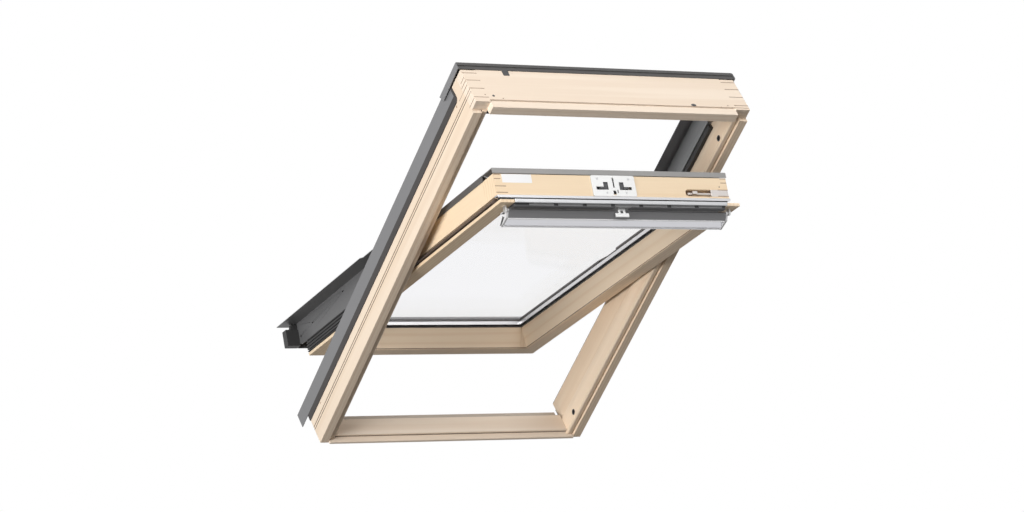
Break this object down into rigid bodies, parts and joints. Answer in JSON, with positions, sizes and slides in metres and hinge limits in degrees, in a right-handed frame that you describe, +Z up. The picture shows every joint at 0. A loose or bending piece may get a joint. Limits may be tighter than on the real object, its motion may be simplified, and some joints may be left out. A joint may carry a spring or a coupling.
{
  "type": "roof skylight",
  "caption": "Centre-pivot roof window standing open: timber frame and glazed sash, metal cladding and hood, ventilation grille, control bar, hook lock and barrel bolt.",
  "frame": {"origin": "middle of the sash's pivot axis, half way between the two side members", "axes": "+X to the right as seen from the room, along the pivot axis; +Y level, out through the roof; +Z up; the frame leans in a 45 degree roof"},
  "size_m": [0.794, 1.129, 0.9418],
  "materials": {
    "frame_pine": "clear lacquered pine, satin",
    "sash_pine": "clear lacquered pine, satin",
    "hood_metal": "dark grey coating, satin",
    "cladding_metal": "grey coating, satin",
    "rubber": "matt black",
    "aluminium": "brushed along its length",
    "hardware_steel": "zinc plated, satin",
    "glass": "clear float glass",
    "dark_plastic": "dark grey moulded plastic"
  },
  "bodies": {
    "frame": {"frame_left_member": "frame_pine", "frame_right_member": "frame_pine", "frame_top_member": "frame_pine", "frame_bottom_member": "frame_pine", "frame_top_cover": "hood_metal", "hood_left_end": "hood_metal", "hood_right_end": "hood_metal", "hood_clip": "dark_plastic", "frame_left_cover": "cladding_metal", "frame_right_cover": "cladding_metal", "frame_bottom_cover": "cladding_metal", "frame_left_gasket": "rubber", "frame_right_gasket": "rubber", "frame_left_liner": "aluminium", "frame_right_liner": "aluminium", "frame_left_seal": "rubber", "frame_right_seal": "rubber", "frame_top_seal": "rubber", "frame_left_hinge": "hardware_steel", "frame_right_hinge": "hardware_steel", "lock_striker": "hardware_steel", "bolt_bush_vent": "dark_plastic", "bolt_bush_cleaning": "dark_plastic"},
    "sash": {"sash_top_rail": "sash_pine", "sash_bottom_rail": "sash_pine", "sash_left_member": "sash_pine", "sash_right_member": "sash_pine", "glazing_gasket": "rubber", "pane_inner": "glass", "pane_spacer": "aluminium", "pane_outer": "glass", "sash_top_cover": "hood_metal", "sash_bottom_cover": "cladding_metal", "sash_left_upper_cover": "hood_metal", "sash_right_upper_cover": "hood_metal", "sash_left_lower_cover": "cladding_metal", "sash_right_lower_cover": "cladding_metal", "sash_left_cap": "rubber", "sash_right_cap": "rubber", "sash_left_upper_gasket": "rubber", "sash_right_upper_gasket": "rubber", "sash_top_gasket": "rubber", "sash_left_lower_gasket": "rubber", "sash_right_lower_gasket": "rubber", "sash_left_hinge": "hardware_steel", "sash_right_hinge": "hardware_steel", "lock_plate": "hardware_steel", "lock_case": "hardware_steel", "bolt_housing": "hardware_steel", "vent_rail": "aluminium", "vent_grille": "dark_plastic", "bar_left_bracket": "hardware_steel", "bar_right_bracket": "hardware_steel"},
    "control_bar": {"control_flap": "dark_plastic", "control_bar": "aluminium", "bar_left_cap": "dark_plastic", "bar_right_cap": "dark_plastic", "bar_coupling": "hardware_steel"},
    "lock_latch": {"lock_latch": "hardware_steel"},
    "barrel_bolt": {"barrel_bolt": "hardware_steel"}
  },
  "joints": [
    {"name": "sash_pivot", "type": "hinge", "parent": "frame", "child": "sash", "pos_m": [0, 0, 0], "axis": [1, 0, 0], "range_deg": [-24.7, 138.3]},
    {"name": "control_bar_hinge", "type": "hinge", "parent": "sash", "child": "control_bar", "pos_m": [0, -0.52368, 0.08603], "axis": [1, 0, 0], "range_deg": [-20, 33]},
    {"name": "latch_slide", "type": "slide", "parent": "sash", "child": "lock_latch", "axis": [1, 0, 0], "range_m": [-0.004, 0.0065]},
    {"name": "bolt_slide", "type": "slide", "parent": "sash", "child": "barrel_bolt", "axis": [1, 0, 0], "range_m": [0, 0.03]}
  ],
  "couplings": [
    {"joint": "latch_slide", "follows": "control_bar_hinge", "m_per_rad": 0.011}
  ]
}
